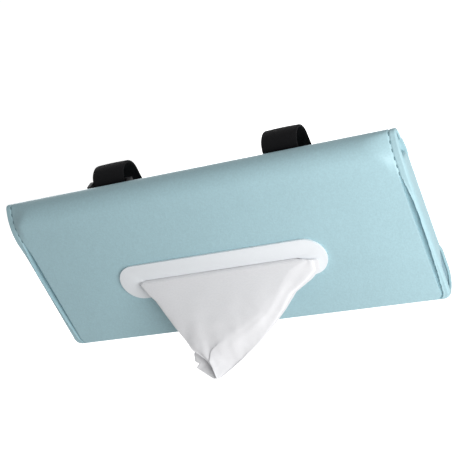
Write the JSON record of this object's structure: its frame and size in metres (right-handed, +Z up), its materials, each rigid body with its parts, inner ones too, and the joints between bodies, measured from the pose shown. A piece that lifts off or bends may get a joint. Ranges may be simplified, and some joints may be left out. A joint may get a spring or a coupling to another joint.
{
  "type": "car visor tissue case",
  "caption": "Flat imitation-leather tissue case that straps to a car's sun visor, with an oblong outlet in front, a drawn tissue and a magnetic closing flap at the foot.",
  "frame": {"origin": "middle of the back face, where the case lies against the visor", "axes": "+X to the right seen from the front, +Y out of the back towards the visor, +Z up along the case"},
  "size_m": [0.235, 0.0717, 0.1108],
  "materials": {
    "imitation_leather": "fine grain, satin",
    "board": "raw grey board",
    "lining": "thin non-woven",
    "white_plastic": "satin gloss",
    "steel": "plain",
    "magnet": "nickel plated",
    "elastic_webbing": "woven",
    "black_plastic": "fine texture",
    "tissue_paper": "soft, matt"
  },
  "bodies": {
    "case": {"front_cover": "imitation_leather", "front_board": "board", "front_lining": "lining", "back_cover": "imitation_leather", "back_board": "board", "back_lining": "lining", "left_back_steel_disc": "steel", "right_back_steel_disc": "steel", "left_gusset": "imitation_leather", "right_gusset": "imitation_leather", "outlet_bezel": "white_plastic", "outlet_retainer": "white_plastic", "left_strap_anchor": "imitation_leather", "left_strap": "elastic_webbing", "right_strap_anchor": "imitation_leather", "right_strap": "elastic_webbing", "tissue_stack": "tissue_paper"},
    "closing_flap": {"flap_cover": "imitation_leather", "flap_board": "board", "flap_lining": "lining", "left_flap_magnet": "magnet", "right_flap_magnet": "magnet"},
    "left_slider": {"left_strap_slider": "black_plastic"},
    "right_slider": {"right_strap_slider": "black_plastic"},
    "top_tissue": {"drawn_tissue": "tissue_paper"}
  },
  "joints": [
    {"name": "flap_hinge", "type": "hinge", "parent": "case", "child": "closing_flap", "pos_m": [0, -0.01295, -0.04905], "axis": [-1, 0, 0], "range_deg": [0, 150]},
    {"name": "left_slider_travel", "type": "slide", "parent": "case", "child": "left_slider", "axis": [0, 0, 1], "range_m": [-0.0268, 0]},
    {"name": "right_slider_travel", "type": "slide", "parent": "case", "child": "right_slider", "axis": [0, 0, 1], "range_m": [-0.0165, 0.0109]},
    {"name": "tissue_pull", "type": "slide", "parent": "case", "child": "top_tissue", "axis": [0, -1, 0], "range_m": [0, 0.1]}
  ]
}
